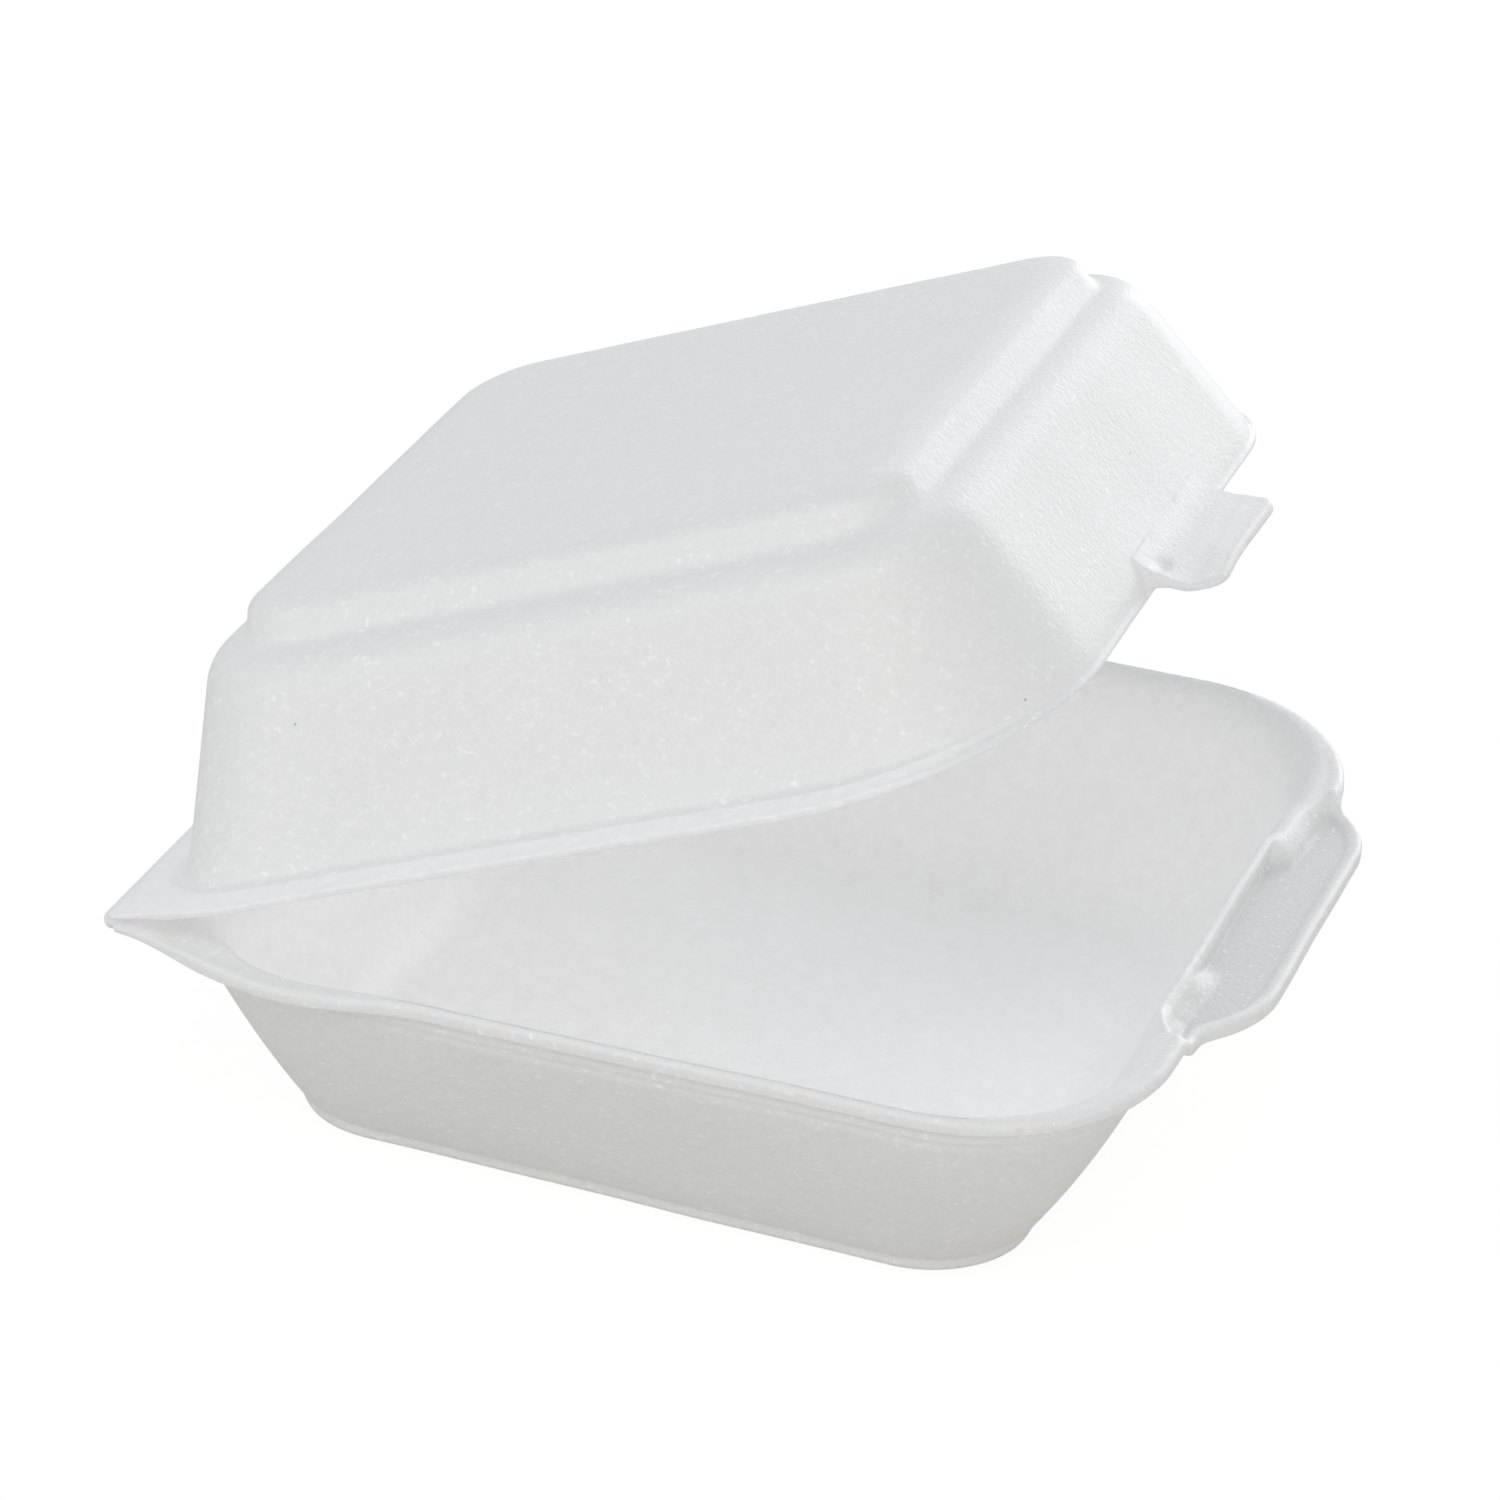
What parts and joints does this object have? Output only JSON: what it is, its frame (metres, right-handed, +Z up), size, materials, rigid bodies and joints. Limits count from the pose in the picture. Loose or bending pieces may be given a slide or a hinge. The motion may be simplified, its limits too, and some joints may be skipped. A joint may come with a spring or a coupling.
{
  "type": "foam clamshell container",
  "caption": "Square foam clamshell food box: a tray with sloping walls and a rolled rim, a stepped lid that swings on the crease, and a tab that drops into a notched catch.",
  "frame": {"origin": "centre of the tray's foot, on the table it stands on", "axes": "+Z up, -Y towards the catch at the front, X along the crease at the back"},
  "size_m": [0.1552, 0.1628, 0.1177],
  "materials": {
    "foam": "satin closed-cell foam skin"
  },
  "bodies": {
    "base": {"base": "foam"},
    "lid": {"lid": "foam"}
  },
  "joints": [
    {"name": "lid_hinge", "type": "hinge", "parent": "base", "child": "lid", "pos_m": [0, 0.077, 0.0344], "axis": [-1, 0, 0], "range_deg": [-21.7, 152]}
  ]
}
